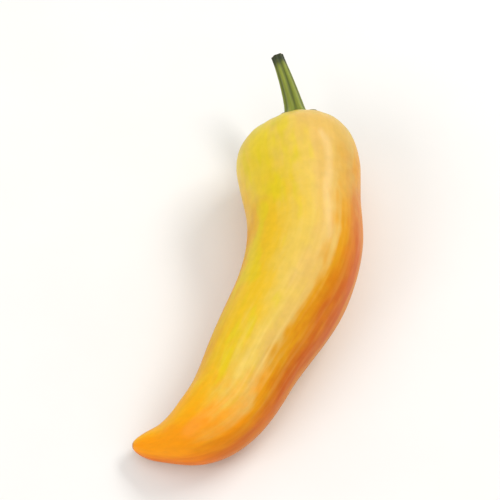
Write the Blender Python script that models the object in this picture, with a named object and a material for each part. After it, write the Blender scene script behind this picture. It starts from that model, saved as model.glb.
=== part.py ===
"""A hungarian hot wax pepper, as picked and lying on its side: the waxy yellow pod, and the green stem
that widens into the calyx on its shoulder. Units are metres, +Z is up, +Y points to the stem end, and
the origin is under the middle of the pepper, on the surface that it lies on."""

import math

import bmesh
import bpy
import numpy as np
from mathutils import Vector

# Lengths below are in millimetres, angles in radians
MM = 0.001

# The pod: its axis seen from above, from the stem end to the tip, and its half width there (x, y, half width)
POD_STATIONS = (
    (15.2, 44.7, 20.6),
    (16.4, 27.0, 20.3),
    (17.5, 14.0, 18.9),
    (17.8, 1.0, 18.6),
    (15.2, -11.0, 18.1),
    (6.9, -28.0, 16.4),
    (0.2, -40.2, 14.8),
    (-7.0, -52.6, 13.3),
    (-16.6, -60.2, 10.5),
    (-27.6, -62.3, 5.8),
    (-35.9, -62.0, 3.7),
)
SHOULDER_DEPTH = 19.0  # from the top of the dome to where the pod has its full width
SHOULDER_SQUARENESS = 2.5  # 2 is a round dome, and more is a flatter one
TIP_DEPTH = 7.0
TIP_SQUARENESS = 2.1

# The pod grew with three lobes, which fade to soft ridges and then out before the tip
LOBES = 3
LOBE_HEIGHT = 0.028  # share of the half width
FURROW_DEPTH = 0.045  # share of the half width, on top of the lobe's own fall
FURROW_NARROWNESS = 3
LOBE_TURN = math.radians(18)  # the first ridge, measured from straight up
LOBE_TWIST = math.radians(28)  # from the stem end to the tip
LOBE_FADE = 1.5  # more keeps the lobes for longer

# Height of the underside over the surface at distances along the pod: where it would be
# below the surface, at the shoulder, the belly and near the tip, it is pressed flat
UNDERSIDE = ((0, 0.2), (20, -0.45), (40, 0.3), (62, -0.35), (86, 0.2), (109, -0.7), (150, 2.6))

# The calyx hugs the shoulder, and each of its teeth ends a rib of the stem
SEAT_GAP = 0.3  # between the calyx and the pod
CALYX_RADIUS = 8.8  # between its teeth
CALYX_RIM = 0.6  # thickness at the rim
CALYX_CROWN = 2.4  # what it would gain by its middle
CALYX_RIB = 0.5  # height of a rib by its middle
CALYX_UNDER = (0.3, 0.6, 0.9)  # shares of its reach that have a ring of points, below
CALYX_OVER = (0.93, 0.83, 0.72, 0.62)  # and above
RIBS = 6
RIB_TURN = math.radians(30)  # the first rib, measured from straight up
TOOTH_LENGTH = 1.8
TOOTH_NARROWNESS = 4
TOOTH_UNEVENNESS = 0.4  # how much longer some teeth are than others, as a share

# The stem leaves the pod along the pod's axis, and bends to one side and up
STEM_LENGTH = 26.0
STEM_KNEE = 0.35  # share of its length after which it bends
STEM_LEAN = Vector((-0.34, 0.90, 0.22))  # where its cut end points
STEM_START = 0.13  # share of its length that is inside the calyx
STEM_BASE_RADIUS = 4.1
STEM_END_RADIUS = 1.9
STEM_TAPER = 0.75
STEM_FLARE = 0.8  # added to its radius where it leaves the calyx
FLARE_REACH = 0.1  # share of its length
STEM_LIP = 0.15  # added to its radius at the cut
LIP_START = 0.86
RIB_HEIGHT = 0.075  # share of the stem's radius
CUT_RING = 0.6  # share of the radius at which the cut face has a ring of points

AROUND_POD = 48
ALONG_POD = 60
EVENLY = 0.35  # share of even spacing in the pod's rings: the rest gathers them at both ends
AROUND_STEM = 60
ALONG_STEM = 16


def smooth_curve(knots, values):
    """A natural cubic spline through the values at the knots, as a function of the distance along."""
    knots = np.asarray(knots, float)
    values = np.asarray(values, float)
    gaps = np.diff(knots)
    last = len(knots) - 1
    system = np.eye(last + 1)
    right = np.zeros_like(values)
    for i in range(1, last):
        system[i, i - 1 : i + 2] = gaps[i - 1], 2 * (gaps[i - 1] + gaps[i]), gaps[i]
        right[i] = 6 * ((values[i + 1] - values[i]) / gaps[i] - (values[i] - values[i - 1]) / gaps[i - 1])
    bend = np.linalg.solve(system, right)

    def at(s):
        i = int(np.clip(np.searchsorted(knots, s) - 1, 0, last - 1))
        gap, to_next, done = gaps[i], knots[i + 1] - s, s - knots[i]
        curve = (bend[i] * to_next**3 + bend[i + 1] * done**3) / (6 * gap)
        start = (values[i] / gap - bend[i] * gap / 6) * to_next
        end = (values[i + 1] / gap - bend[i + 1] * gap / 6) * done
        return curve + start + end

    return at


STATIONS = np.array(POD_STATIONS)
STEPS = np.linalg.norm(np.diff(STATIONS[:, :2], axis=0), axis=1)
KNOTS = np.concatenate([[0.0], np.cumsum(STEPS)])
POD_LENGTH = float(KNOTS[-1])
plan_at = smooth_curve(KNOTS, STATIONS[:, :2])
half_width_at = smooth_curve(KNOTS, STATIONS[:, 2])
underside_at = smooth_curve(*zip(*UNDERSIDE))


def rounded(share, squareness):
    """1 away from an end, and down to 0 at it, as share of the end's depth goes from 1 to 0."""
    return (1 - (1 - min(max(share, 0.0), 1.0)) ** squareness) ** (1 / squareness)


def dome_depth(share):
    """How far from the top the shoulder has this share of its full width."""
    return SHOULDER_DEPTH * (1 - (1 - share**SHOULDER_SQUARENESS) ** (1 / SHOULDER_SQUARENESS))


def lobed(s, angle):
    """The section's shape: what the half width is multiplied by at this angle from straight up."""
    along = s / POD_LENGTH
    turn = LOBES * (angle - LOBE_TURN - LOBE_TWIST * along)
    ridges = 1 - along**LOBE_FADE
    furrows = ridges * (1 - along) ** 2
    furrow = ((1 - math.cos(turn)) / 2) ** FURROW_NARROWNESS
    return 1 + ridges * LOBE_HEIGHT * math.cos(turn) - furrows * FURROW_DEPTH * furrow


def axis_at(s):
    """A point of the pod's axis, as high as its underside leaves it."""
    x, y = plan_at(s)
    height = half_width_at(s) * lobed(s, math.pi) + underside_at(s)
    return Vector((float(x), float(y), float(height)))


def pod_frame(s):
    """The axis point at s with the directions along, sideways and up there."""
    step = 0.5
    before, after = max(s - step, 0.0), min(s + step, POD_LENGTH)
    along = (axis_at(after) - axis_at(before)).normalized()
    side = Vector((0, 0, 1)).cross(along).normalized()
    return axis_at(s), along, side, along.cross(side)


def pod_point(s, angle, frame=None):
    """A point of the pod's skin, s along from the stem end and at this angle from straight up."""
    place, _, side, up = frame or pod_frame(s)
    width = float(half_width_at(s)) * lobed(s, angle)
    width *= rounded(s / SHOULDER_DEPTH, SHOULDER_SQUARENESS)
    width *= rounded((POD_LENGTH - s) / TIP_DEPTH, TIP_SQUARENESS)
    return place + width * (math.cos(angle) * up + math.sin(angle) * side)


def pod_normal(s, angle):
    """The outward direction of the skin."""
    step, turn = 0.02, 0.01
    along = pod_point(s + step, angle) - pod_point(max(s - step, 0.001), angle)
    around = pod_point(s, angle + turn) - pod_point(s, angle - turn)
    return along.cross(around).normalized()


def over_pod(share, angle, height):
    """A point over the shoulder, at a share of its half width and a height over the skin."""
    s = dome_depth(share)
    return pod_point(s, angle) + height * pod_normal(s, angle)


def angles(count):
    return [2 * math.pi * i / count for i in range(count)]


def loft(name, first, rings, last, material):
    """A closed skin over rings of points in millimetres, with a pole point at each end."""
    shape = bmesh.new()
    start = shape.verts.new(first * MM)
    rows = [[shape.verts.new(point * MM) for point in ring] for ring in rings]
    end = shape.verts.new(last * MM)
    count = len(rows[0])
    for i in range(count):
        j = (i + 1) % count
        shape.faces.new((start, rows[0][i], rows[0][j]))
        for ring, following in zip(rows, rows[1:]):
            shape.faces.new((ring[i], following[i], following[j], ring[j]))
        shape.faces.new((rows[-1][i], end, rows[-1][j]))
    bmesh.ops.recalc_face_normals(shape, faces=shape.faces)
    mesh = bpy.data.meshes.new(name)
    shape.to_mesh(mesh)
    shape.free()
    mesh.shade_smooth()
    mesh.materials.append(material)
    return bpy.data.objects.new(name, mesh)


def skin_material(name, colour, roughness, coat=0.0):
    material = bpy.data.materials.new(name)
    material.use_nodes = True
    shader = material.node_tree.nodes["Principled BSDF"]
    shader.inputs["Base Color"].default_value = (*colour, 1)
    shader.inputs["Roughness"].default_value = roughness
    shader.inputs["Coat Weight"].default_value = coat
    return material


def make_pod():
    """Rings of the lobed section, closer together towards both ends, from the shoulder to the tip."""
    rings = []
    for i in range(1, ALONG_POD):
        share = i / ALONG_POD
        gathered = (1 - math.cos(math.pi * share)) / 2
        s = POD_LENGTH * (EVENLY * share + (1 - EVENLY) * gathered)
        frame = pod_frame(s)
        rings.append([pod_point(s, angle, frame) for angle in angles(AROUND_POD)])
    material = skin_material("waxy_skin", (0.80, 0.58, 0.07), 0.3, 0.4)
    return loft("pod", axis_at(0), rings, axis_at(POD_LENGTH), material)


def cut_flat(pod):
    """Takes off what the pod presses flat where it lies: all of it that is below the surface."""
    size = 0.3
    bpy.ops.mesh.primitive_cube_add(size=size, location=(0, 0, -size / 2))
    surface = bpy.context.object
    surface.name = "surface_cutter"
    surface.hide_render = True
    surface.display_type = "WIRE"
    for old in list(surface.users_collection):
        old.objects.unlink(surface)
    cutters.objects.link(surface)
    cut = pod.modifiers.new("rest_flat", "BOOLEAN")
    cut.operation = "DIFFERENCE"
    cut.solver = "EXACT"
    cut.object = surface


def rib_wave(angle):
    """1 on the crest of a rib, and -1 in the middle between two."""
    return math.cos(RIBS * (angle - RIB_TURN))


def calyx_reach(angle):
    """How far out the calyx reaches at this angle, as a share of the shoulder's half width."""
    tooth = ((1 + rib_wave(angle)) / 2) ** TOOTH_NARROWNESS
    length = TOOTH_LENGTH * (1 + TOOTH_UNEVENNESS * math.sin(2 * angle + 1))
    return (CALYX_RADIUS + length * tooth) / POD_STATIONS[0][2]


def calyx_ring(share, height, crown=0.0):
    """A ring of the calyx at a share of its reach. The crown lifts it, and more so on the ribs."""
    ring = []
    for angle in angles(AROUND_STEM):
        lift = crown * (CALYX_CROWN * math.sqrt(crown) + CALYX_RIB * rib_wave(angle))
        ring.append(over_pod(share * calyx_reach(angle), angle, SEAT_GAP + height + lift))
    return ring


def stem_frame(t):
    """The middle of the stem at share t of its length, with the directions across it and up from it."""
    start, along, side, _ = pod_frame(0.0)
    knee = start - STEM_KNEE * STEM_LENGTH * along
    end = knee + (1 - STEM_KNEE) * STEM_LENGTH * STEM_LEAN.normalized()
    middle = (1 - t) ** 2 * start + 2 * t * (1 - t) * knee + t**2 * end
    heading = ((1 - t) * (knee - start) + t * (end - knee)).normalized()
    across = (side - heading * side.dot(heading)).normalized()
    return middle, across, across.cross(heading)


def stem_ring(t):
    """A ribbed ring of the stem: it flares where it leaves the calyx and has a small lip at the cut."""
    middle, across, upward = stem_frame(t)
    radius = STEM_BASE_RADIUS + (STEM_END_RADIUS - STEM_BASE_RADIUS) * t**STEM_TAPER
    radius += STEM_FLARE * math.exp(-(((t - STEM_START) / FLARE_REACH) ** 2))
    radius += STEM_LIP * max(0.0, (t - LIP_START) / (1 - LIP_START)) ** 2
    ring = []
    for angle in angles(AROUND_STEM):
        ribbed = radius * (1 + RIB_HEIGHT * rib_wave(angle))
        ring.append(middle + ribbed * (math.cos(angle) * upward + math.sin(angle) * across))
    return ring


def make_stem():
    """One skin from the middle of the calyx's underside, round its rim, over its top and up the stem."""
    rings = [calyx_ring(share, 0.0) for share in CALYX_UNDER]
    rings += [calyx_ring(1.0, CALYX_RIM * height) for height in (0.25, 0.75)]
    rings += [calyx_ring(share, CALYX_RIM, 1 - share) for share in CALYX_OVER]
    for i in range(ALONG_STEM):
        rings.append(stem_ring(STEM_START + (1 - STEM_START) * i / (ALONG_STEM - 1)))
    cut_middle, _, _ = stem_frame(1.0)
    rings.append([cut_middle + CUT_RING * (point - cut_middle) for point in rings[-1]])
    material = skin_material("green_stem", (0.16, 0.22, 0.03), 0.5)
    return loft("stem_and_calyx", over_pod(0.0, 0.0, SEAT_GAP), rings, cut_middle, material)


def new_collection(name):
    collection = bpy.data.collections.new(name)
    bpy.context.scene.collection.children.link(collection)
    return collection


for old in list(bpy.data.objects):
    bpy.data.objects.remove(old)
pepper = new_collection("hungarian_hot_wax_pepper")
cutters = new_collection("cutters")
pod = make_pod()
stem = make_stem()
pepper.objects.link(pod)
pepper.objects.link(stem)
cut_flat(pod)
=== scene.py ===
# %% [markdown]
# # A hungarian hot wax pepper, as picked
#
# The pod of this pepper is waxy and yellow before it ripens to orange and red. It grew as one bent,
# tapering body with three soft lobes, and hangs from a ribbed green stem that widens into the calyx on its
# shoulder. Here it lies on its side on a pale floor.
#
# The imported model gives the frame: two plain solids at their real size, `pod` and `stem_and_calyx`. Each is
# replaced below by a finer piece of the same form, so that the light runs over it without facets.

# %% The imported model
import math

import bpy
import numpy as np
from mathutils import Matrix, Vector
from mathutils.bvhtree import BVHTree


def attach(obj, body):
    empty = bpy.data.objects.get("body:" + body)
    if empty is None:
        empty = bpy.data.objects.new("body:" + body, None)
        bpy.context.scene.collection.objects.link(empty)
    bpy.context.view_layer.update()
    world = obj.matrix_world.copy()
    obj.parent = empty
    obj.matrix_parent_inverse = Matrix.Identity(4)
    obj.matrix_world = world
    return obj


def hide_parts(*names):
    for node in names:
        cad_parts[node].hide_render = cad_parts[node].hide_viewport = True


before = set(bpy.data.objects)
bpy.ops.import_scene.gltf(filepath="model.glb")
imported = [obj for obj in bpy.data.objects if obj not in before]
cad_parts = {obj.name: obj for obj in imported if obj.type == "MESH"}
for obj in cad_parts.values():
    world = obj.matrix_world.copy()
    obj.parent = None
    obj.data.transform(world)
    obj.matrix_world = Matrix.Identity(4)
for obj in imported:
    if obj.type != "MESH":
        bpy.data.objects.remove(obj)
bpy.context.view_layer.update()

MM = 0.001
print("solids:", ", ".join(sorted(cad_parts)))

# %% [markdown]
# ## Camera, floor and light
#
# The camera looks down on the pepper at 60 degrees, from the side of its tip. A long lens from 60 cm away
# keeps its proportions calm, as in a picture of produce.

# %% Camera
LOOK_AT = Vector((-0.0001, -0.0009, 0.0175))
ELEVATION = math.radians(60)
DISTANCE = 0.6
VIEW_WIDTH = 0.157  # what the picture takes in from left to right, at the pepper
SENSOR = 36  # its width in mm

lens = bpy.data.cameras.new("camera")
lens.sensor_width = SENSOR
lens.lens = SENSOR * DISTANCE / VIEW_WIDTH
camera = bpy.data.objects.new("camera", lens)
camera.location = LOOK_AT + DISTANCE * Vector((0, -math.cos(ELEVATION), math.sin(ELEVATION)))
camera.rotation_euler = (LOOK_AT - camera.location).to_track_quat("-Z", "Y").to_euler()
bpy.context.scene.collection.objects.link(camera)
bpy.context.scene.camera = camera
print(f"a lens of {lens.lens:.0f} mm, {DISTANCE} m away")

# %% [markdown]
# Materials and Geometry Nodes are both trees of nodes. They could be drawn by hand in the node editor, but
# a script can be read from top to bottom. One small function adds a node to either kind of tree, sets it up
# and fills its inputs, by place or by name. An input takes a plain value, a node, whose first output is
# then linked, or a socket. A colour ramp takes its stops as pairs of a place from 0 to 1 and a colour.

# %% Adding a node
MATH, VECTOR_MATH = "ShaderNodeMath", "ShaderNodeVectorMath"
MIX, RANGE = "ShaderNodeMix", "ShaderNodeMapRange"


def add(tree, kind, values=(), **settings):
    """A new node with its settings, its colour stops and its inputs filled."""
    node = tree.nodes.new(kind)
    for number, (place, colour) in enumerate(settings.pop("stops", ())):
        elements = node.color_ramp.elements
        stop = elements[number] if number < len(elements) else elements.new(place)
        stop.position, stop.color = place, colour
    for name, setting in settings.items():
        setattr(node, name, setting)
    shown = [socket for socket in node.inputs if socket.enabled]
    for key, value in values.items() if isinstance(values, dict) else enumerate(values):
        socket = shown[key] if isinstance(key, int) else next(s for s in shown if s.name == key)
        if isinstance(value, bpy.types.Node):
            value = next(output for output in value.outputs if output.enabled)
        if isinstance(value, bpy.types.NodeSocket):
            tree.links.new(value, socket)
        else:
            socket.default_value = value
    return node


# %% [markdown]
# Colours are written below as in a paint program, in sRGB hex. Light adds up in linear values, so one
# function turns the one into the other, with the numbers that the sRGB standard gives.


# %% From sRGB to linear
def srgb(code):
    """A colour as people write it, such as #E8C53A, in the linear values that light is worked out in."""
    parts = [int(code[i : i + 2], 16) / 255 for i in (1, 3, 5)]
    return (*[p / 12.92 if p <= 0.04045 else ((p + 0.055) / 1.055) ** 2.4 for p in parts], 1.0)


print("#E8C53A in linear values:", *(round(part, 3) for part in srgb("#E8C53A")))

# %% [markdown]
# The floor is a sheet of matt white card, rolled smooth and left unglazed, so it has next to no gloss. It
# is nearly white in the picture, with only a soft shadow where the pod touches it. Its tone drifts a
# little, as card does over a few centimetres. A flat square is enough, because the card has no visible edge
# or texture.

# %% Floor
FLOOR_SIZE = 6.0
FLOOR_DROP = 0.02 * MM  # so that it lies just clear of the pod's flat spots
CARD_DRIFT = 0.04  # metres from one cloud of tone to the next

card = bpy.data.materials.new("matt_white_card")
card.use_nodes = True
shader = card.node_tree.nodes["Principled BSDF"]
shader.inputs["Roughness"].default_value = 0.9
shader.inputs["Specular IOR Level"].default_value = 0.15
spot = add(card.node_tree, "ShaderNodeTexCoord").outputs["Object"]
drift = add(card.node_tree, "ShaderNodeTexNoise", {"Vector": spot, "Scale": 1 / CARD_DRIFT, "Detail": 3.0})
paper = {"Factor": drift, "A": srgb("#F1F0ED"), "B": srgb("#F7F6F4")}
paper = add(card.node_tree, MIX, paper, data_type="RGBA")
card.node_tree.links.new(paper.outputs[2], shader.inputs["Base Color"])

half = FLOOR_SIZE / 2
corners = [(-half, -half, 0), (half, -half, 0), (half, half, 0), (-half, half, 0)]
sheet = bpy.data.meshes.new("floor")
sheet.from_pydata(corners, [], [(0, 1, 2, 3)])
sheet.materials.append(card)
floor = bpy.data.objects.new("floor", sheet)
floor.location.z = -FLOOR_DROP
bpy.context.scene.collection.objects.link(floor)
print(f"{floor.name}: {FLOOR_SIZE:.0f} m square, {card.name}")

# %% [markdown]
# The light is that of a small product studio. A large softbox overhead gives the soft shadow, a smaller one
# from the upper right lays a long pale gloss along the pod's ridge, a third fills in from the left, and the
# room itself is bright and white. One large lamp would be simpler, but its gloss would lie over the whole
# pod. The softboxes don't show in the picture themselves.

# %% Lights
ROOM_LIGHT = 0.58


def softbox(name, place, size, watts, colour):
    """A soft rectangular lamp that faces the pepper, with its place and size in metres."""
    light = bpy.data.lights.new(name, "AREA")
    light.shape = "RECTANGLE"
    light.size, light.size_y = size
    light.energy = watts
    light.color = srgb(colour)[:3]
    lamp = bpy.data.objects.new(name, light)
    lamp.location = place
    lamp.rotation_euler = (LOOK_AT - Vector(place)).to_track_quat("-Z", "Y").to_euler()
    lamp.visible_camera = False
    bpy.context.scene.collection.objects.link(lamp)


softbox("overhead", (0.05, 0.0, 1.05), (0.8, 0.9), 1.6, "#FFFEFC")
softbox("strip", (0.56, 0.42, 0.70), (0.5, 0.22), 4.3, "#FFFDFA")
softbox("fill", (-0.6, -0.4, 0.6), (0.5, 0.5), 2.2, "#FFFEFC")

world = bpy.data.worlds.new("bright_room")
world.use_nodes = True
room = world.node_tree.nodes["Background"]
room.inputs["Color"].default_value = srgb("#FFFFFF")
room.inputs["Strength"].default_value = ROOM_LIGHT
bpy.context.scene.world = world
bpy.context.scene.view_settings.view_transform = "Standard"
print(f"three softboxes, and a white room at strength {ROOM_LIGHT}")

# %% [markdown]
# ## The pod's axis
#
# A pod is described well by its axis: where its middle runs, seen from above, and how wide it is there. It
# could be pulled into shape by eye, but then the same bend couldn't be given to the solid. Eleven stations
# are enough, because a natural cubic spline through them bends no more than a grown thing does. The same
# stations shaped the solid, so the fine pod lies where the solid is.

# %% Stations of the pod
# x, y and half width in mm, from the stem end to the tip
POD_STATIONS = (
    (15.2, 44.7, 20.6),
    (16.4, 27.0, 20.3),
    (17.5, 14.0, 18.9),
    (17.8, 1.0, 18.6),
    (15.2, -11.0, 18.1),
    (6.9, -28.0, 16.4),
    (0.2, -40.2, 14.8),
    (-7.0, -52.6, 13.3),
    (-16.6, -60.2, 10.5),
    (-27.6, -62.3, 5.8),
    (-35.9, -62.0, 3.7),
)
# Distance along in mm, and the underside's height over the floor, which presses it flat where it is below 0
UNDERSIDE = ((0, 0.2), (20, -0.45), (40, 0.3), (62, -0.35), (86, 0.2), (109, -0.7), (150, 2.6))


def smooth_curve(knots, values):
    """A natural cubic spline through rows of values, as a function of an array of distances."""
    knots = np.asarray(knots, float)
    values = np.asarray(values, float)
    gaps = np.diff(knots)[:, None]
    slopes = np.diff(values, axis=0) / gaps
    system, right = np.eye(len(knots)), np.zeros_like(values)
    for i in range(1, len(knots) - 1):
        before, after = gaps[i - 1, 0], gaps[i, 0]
        system[i, i - 1 : i + 2] = before, 2 * (before + after), after
        right[i] = 6 * (slopes[i] - slopes[i - 1])
    bend = np.linalg.solve(system, right)

    def at(distances):
        i = np.clip(np.searchsorted(knots, distances) - 1, 0, len(knots) - 2)
        gap = gaps[i]
        to_next = (knots[i + 1] - distances)[:, None]
        done = (distances - knots[i])[:, None]
        curve = (bend[i] * to_next**3 + bend[i + 1] * done**3) / (6 * gap)
        start = (values[i] / gap - bend[i] * gap / 6) * to_next
        end = (values[i + 1] / gap - bend[i + 1] * gap / 6) * done
        return curve + start + end

    return at


stations = np.array(POD_STATIONS)
steps = np.linalg.norm(np.diff(stations[:, :2], axis=0), axis=1)
knots = np.concatenate([[0.0], np.cumsum(steps)])
pod_length = knots[-1]
print(f"the pod's axis is {pod_length:.0f} mm long")

# %% [markdown]
# The axis becomes a chain of points, one for each ring of the skin. They gather towards both ends, where
# the pod closes quickly. Each point carries three numbers as attributes, which the nodes read later: how
# far along it is, how wide the pod is there, and how far the shoulder or the tip has closed it.

# %% The axis as a chain of points
POD_RINGS = 340
EVENLY = 0.35  # share of even spacing
SHOULDER_DEPTH, TIP_DEPTH = 19.0, 7.0  # the length in mm over which each end closes
SHOULDER_SQUARENESS, TIP_SQUARENESS = 2.5, 2.1  # 2 closes it like a ball, and more is flatter


def rounded(share, squareness):
    """1 away from an end, and down to 0 at it, as share of the end's depth goes from 1 to 0."""
    return (1 - (1 - np.clip(share, 0, 1)) ** squareness) ** (1 / squareness)


def store(mesh, name, values):
    """Keeps a number or a vector for each of a mesh's points, under a name that nodes can read."""
    kind, slot = ("FLOAT", "value") if values.ndim == 1 else ("FLOAT_VECTOR", "vector")
    mesh.attributes.new(name, kind, "POINT").data.foreach_set(slot, values.astype(np.float32).ravel())


share = np.linspace(0, 1, POD_RINGS + 1)
ring_at = pod_length * (EVENLY * share + (1 - EVENLY) * (1 - np.cos(math.pi * share)) / 2)
x, y, half_width = smooth_curve(knots, stations)(ring_at).T
heights = np.array(UNDERSIDE)
underside = smooth_curve(heights[:, 0], heights[:, 1:])(ring_at)[:, 0]
closing = rounded(ring_at / SHOULDER_DEPTH, SHOULDER_SQUARENESS)
closing *= rounded((pod_length - ring_at) / TIP_DEPTH, TIP_SQUARENESS)

chain = bpy.data.meshes.new("pod_axis")
links = [(i, i + 1) for i in range(POD_RINGS)]
chain.from_pydata(np.stack([x, y, underside], axis=1) * MM, links, [])
store(chain, "along", ring_at / pod_length)
store(chain, "half_width", half_width * MM)
store(chain, "closing", closing)
pod_axis = bpy.data.objects.new("pod_axis", chain)
bpy.context.scene.collection.objects.link(pod_axis)
print(f"{len(chain.vertices)} points, widest half width {half_width.max():.1f} mm")

# %% [markdown]
# ## The pod's skin
#
# The skin could be modelled by hand with a subdivision surface, but its shape follows a rule, so Geometry
# Nodes build it. A tree starts with named inputs for its sizes, and ends in what it gives back.


# %% A new tree
def new_tree(name, inputs, outputs):
    """An empty Geometry Nodes tree with named inputs and outputs, and what it is given, by name."""
    tree = bpy.data.node_groups.new(name, "GeometryNodeTree")
    for way, sockets in (("INPUT", inputs), ("OUTPUT", outputs)):
        for label, kind in sockets.items():
            tree.interface.new_socket(label, in_out=way, socket_type=f"NodeSocket{kind}")
    return tree, {socket.name: socket for socket in add(tree, "NodeGroupInput").outputs if socket.name}


# %% [markdown]
# A pepper grows from three or four chambers, and each swells a little. Between them the skin dips in
# narrower furrows, which are deepest at the shoulder. Ridges and furrows wander round the pod and fade to
# the tip. A cosine round the section gives the ridges, and the same cosine raised to a power gives narrow
# furrows, so the two always stay in step.
#
# This rule for one section stands in a group of its own, because it is used twice: for the skin, and to
# find how high the axis must lie for the underside to rest on the floor.

# %% One section of the pod
LOBE_SIZES = {
    "Lobes": 3.0,
    "Lobe height": 0.028,  # share of the half width
    "Furrow depth": 0.045,  # share of the half width
    "First ridge": math.radians(18),  # from straight up
    "Twist": math.radians(28),  # from the stem end to the tip
}
FURROW_NARROWNESS = 3.0
LOBE_FADE = 1.5  # more keeps the lobes for longer
FURROW_FADE = 2.0  # more keeps the furrows closer to the shoulder

inputs = dict.fromkeys(("Angle", "Along", *LOBE_SIZES), "Float")
section, given = new_tree("lobed_section", inputs, {"Share of the half width": "Float"})
twist = add(section, MATH, (given["Along"], given["Twist"]), operation="MULTIPLY")
turn = add(section, MATH, (given["Angle"], given["First ridge"]), operation="SUBTRACT")
turn = add(section, MATH, (turn, twist), operation="SUBTRACT")
turn = add(section, MATH, (turn, given["Lobes"]), operation="MULTIPLY")
wave = add(section, MATH, (turn,), operation="COSINE")
fade = add(section, MATH, (given["Along"], LOBE_FADE), operation="POWER")
fade = add(section, MATH, (1.0, fade), operation="SUBTRACT")
ridge = add(section, MATH, (wave, given["Lobe height"]), operation="MULTIPLY")
ridge = add(section, MATH, (ridge, fade, 1.0), operation="MULTIPLY_ADD")
to_tip = add(section, MATH, (1.0, given["Along"]), operation="SUBTRACT")
to_tip = add(section, MATH, (to_tip, FURROW_FADE), operation="POWER")
furrow = add(section, MATH, (wave, -0.5, 0.5), operation="MULTIPLY_ADD")
furrow = add(section, MATH, (furrow, FURROW_NARROWNESS), operation="POWER")
furrow = add(section, MATH, (furrow, given["Furrow depth"]), operation="MULTIPLY")
furrow = add(section, MATH, (furrow, fade), operation="MULTIPLY")
furrow = add(section, MATH, (furrow, to_tip), operation="MULTIPLY")
add(section, "NodeGroupOutput", (add(section, MATH, (ridge, furrow), operation="SUBTRACT"),))
print(f"{section.name}: {len(section.nodes)} nodes")

# %% [markdown]
# The tree of the pod lifts the chain until its underside touches the floor, and turns it into a curve.
# Every point of the curve keeps its place and its heading as attributes, because they are lost in the
# sweep.

# %% The pod's tree: its axis
RELIEF = {"Dent depth": 0.45 * MM, "Streak depth": 0.13 * MM, "Pucker depth": 0.35 * MM}
inputs = {"Axis": "Geometry", "Around": "Int", **dict.fromkeys((*LOBE_SIZES, *RELIEF, "Seed"), "Float")}
grow_pod, given = new_tree("grow_pod", inputs | {"Skin": "Material"}, {"Pod": "Geometry"})
lobes = {name: given[name] for name in LOBE_SIZES}
along = add(grow_pod, "GeometryNodeInputNamedAttribute", ("along",), data_type="FLOAT")
width = add(grow_pod, "GeometryNodeInputNamedAttribute", ("half_width",), data_type="FLOAT")
closed = add(grow_pod, "GeometryNodeInputNamedAttribute", ("closing",), data_type="FLOAT")

bottom = {"Angle": math.pi, "Along": along, **lobes}
below = add(grow_pod, "GeometryNodeGroup", bottom, node_tree=section)
below = add(grow_pod, MATH, (below, width), operation="MULTIPLY")
lift = add(grow_pod, "ShaderNodeCombineXYZ", {"Z": below})
axis = add(grow_pod, "GeometryNodeSetPosition", {"Geometry": given["Axis"], "Offset": lift})
axis = add(grow_pod, "GeometryNodeMeshToCurve", (axis,))
place = add(grow_pod, "GeometryNodeInputPosition")
centre = {"Geometry": axis, "Name": "centre", "Value": place}
axis = add(grow_pod, "GeometryNodeStoreNamedAttribute", centre, data_type="FLOAT_VECTOR")
heading = {"Geometry": axis, "Name": "heading", "Value": add(grow_pod, "GeometryNodeInputTangent")}
axis = add(grow_pod, "GeometryNodeStoreNamedAttribute", heading, data_type="FLOAT_VECTOR")
print(f"{grow_pod.name}: {len(grow_pod.nodes)} nodes")

# %% [markdown]
# A circle is swept along the axis, and each of its points keeps its angle, from straight up. So a point of
# the skin is known by its angle and by how far along it is. The angle is kept as a direction, a sine and a
# cosine, because a plain angle jumps from a full turn to nothing, and a pattern on it would show a seam
# there.

# %% The pod's tree: a tube that knows its way
AROUND = 192
GIRTH = 19 * MM  # a typical half width, which gives a pattern its scale round the pod

circle = add(grow_pod, "GeometryNodeCurvePrimitiveCircle", {"Resolution": given["Around"], "Radius": MM})
turn = add(grow_pod, MATH, (add(grow_pod, "GeometryNodeSplineParameter"), 2 * math.pi), operation="MULTIPLY")
turn = {"Geometry": circle, "Name": "angle", "Value": turn}
circle = add(grow_pod, "GeometryNodeStoreNamedAttribute", turn, data_type="FLOAT")
tube = add(grow_pod, "GeometryNodeCurveToMesh", {"Curve": axis, "Profile Curve": circle})
angle = add(grow_pod, "GeometryNodeInputNamedAttribute", ("angle",), data_type="FLOAT")
to_side = add(grow_pod, MATH, (angle,), operation="SINE")
to_top = add(grow_pod, MATH, (angle,), operation="COSINE")
on_skin = add(grow_pod, "ShaderNodeCombineXYZ", (to_side, to_top, along))
on_skin = {"Geometry": tube, "Name": "on_skin", "Value": on_skin}
tube = add(grow_pod, "GeometryNodeStoreNamedAttribute", on_skin, data_type="FLOAT_VECTOR")
girth = (GIRTH, GIRTH, pod_length * MM)
pattern = add(grow_pod, "GeometryNodeInputNamedAttribute", ("on_skin",), data_type="FLOAT_VECTOR")
pattern = add(grow_pod, VECTOR_MATH, (pattern, girth), operation="MULTIPLY")
seed = {"X": given["Seed"], "Y": given["Seed"], "Z": given["Seed"]}
pattern = add(grow_pod, VECTOR_MATH, (pattern, add(grow_pod, "ShaderNodeCombineXYZ", seed)), operation="ADD")
print(f"{AROUND} points in each of {POD_RINGS + 1} rings")

# %% [markdown]
# The skin is never as smooth as the rule. It has broad shallow dents, faint streaks along the pod, and
# small puckers where it was drawn in round the calyx. They could be painted on as a bump, but then the
# gloss would move and the outline wouldn't. They are taken off the pod's width, so that nothing stands out
# past the solid, and they fade underneath, where the skin lies on the floor.

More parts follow.
